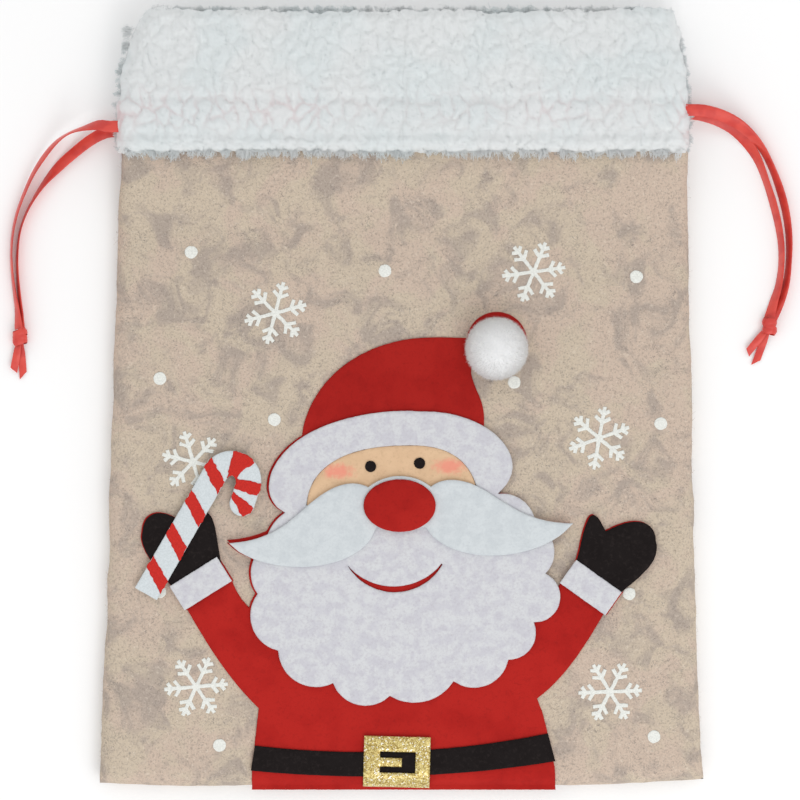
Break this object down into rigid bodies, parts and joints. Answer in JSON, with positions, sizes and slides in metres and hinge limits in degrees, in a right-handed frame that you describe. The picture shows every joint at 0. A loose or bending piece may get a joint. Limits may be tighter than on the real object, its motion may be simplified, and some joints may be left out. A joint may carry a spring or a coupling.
{
  "type": "fabric gift sack",
  "caption": "Flat felt drawstring gift sack with a fleece cuff, satin ribbons through a side-exit tunnel and a felt Father Christmas applique.",
  "frame": {"origin": "under the middle of the sack, on the surface it lies on; the free ribbons are left out of the middle", "axes": "+X to the right of someone facing the sack's front, +Y from the bottom seam to the mouth, +Z out of the sack's front"},
  "size_m": [0.4055, 0.4, 0.0417],
  "materials": {
    "felt_beige": "heathered wool-look felt with grey and brown fibres",
    "fleece_white": "curly sherpa fleece",
    "felt_red": "pressed felt",
    "felt_white": "pressed felt with faint lilac mottling",
    "felt_skin": "pressed felt, cheeks airbrushed pink",
    "felt_black": "pressed felt",
    "flock_red": "flocked print with rough edges",
    "flock_white": "flocked print",
    "glitter_gold": "glitter-faced foam sheet",
    "pompom_white": "cut-pile pompom",
    "ribbon_satin": "woven satin, both faces"
  },
  "bodies": {
    "back": {"back_panel": "felt_beige", "back_cuff": "fleece_white"},
    "front": {"front_panel": "felt_beige", "front_cuff": "fleece_white", "red_backing": "felt_red", "face": "felt_skin", "left_eye": "felt_black", "right_eye": "felt_black", "beard_and_brim": "felt_white", "moustache": "felt_white", "nose": "felt_red", "left_mitten": "felt_black", "right_mitten": "felt_black", "left_sleeve_cuff": "felt_white", "right_sleeve_cuff": "felt_white", "candy_cane": "felt_white", "candy_stripes": "flock_red", "belt": "felt_black", "buckle": "glitter_gold", "pompom": "pompom_white", "snowflake_1": "flock_white", "snowflake_2": "flock_white", "snowflake_3": "flock_white", "snowflake_4": "flock_white", "snowflake_5": "flock_white", "snowflake_6": "flock_white", "snow_dots": "flock_white"},
    "left_ribbon": {"left_ribbon_front_strand": "ribbon_satin", "left_ribbon_back_strand": "ribbon_satin", "left_ribbon_loop": "ribbon_satin", "left_knot": "ribbon_satin", "left_ribbon_tails": "ribbon_satin"},
    "right_ribbon": {"right_ribbon_front_strand": "ribbon_satin", "right_ribbon_back_strand": "ribbon_satin", "right_ribbon_loop": "ribbon_satin", "right_knot": "ribbon_satin", "right_ribbon_tails": "ribbon_satin"}
  },
  "joints": [
    {"name": "mouth_open", "type": "hinge", "parent": "back", "child": "front", "pos_m": [0, -0.1988, 0.007], "axis": [1, 0, 0], "range_deg": [0, 8], "deforming": ["left_ribbon_loop", "right_ribbon_loop"]},
    {"name": "left_ribbon_pull", "type": "slide", "parent": "back", "child": "left_ribbon", "axis": [-1, 0, 0], "range_m": [0, 0.02], "deforming": ["left_ribbon_loop"]},
    {"name": "right_ribbon_pull", "type": "slide", "parent": "back", "child": "right_ribbon", "axis": [1, 0, 0], "range_m": [0, 0.02], "deforming": ["right_ribbon_loop"]}
  ]
}
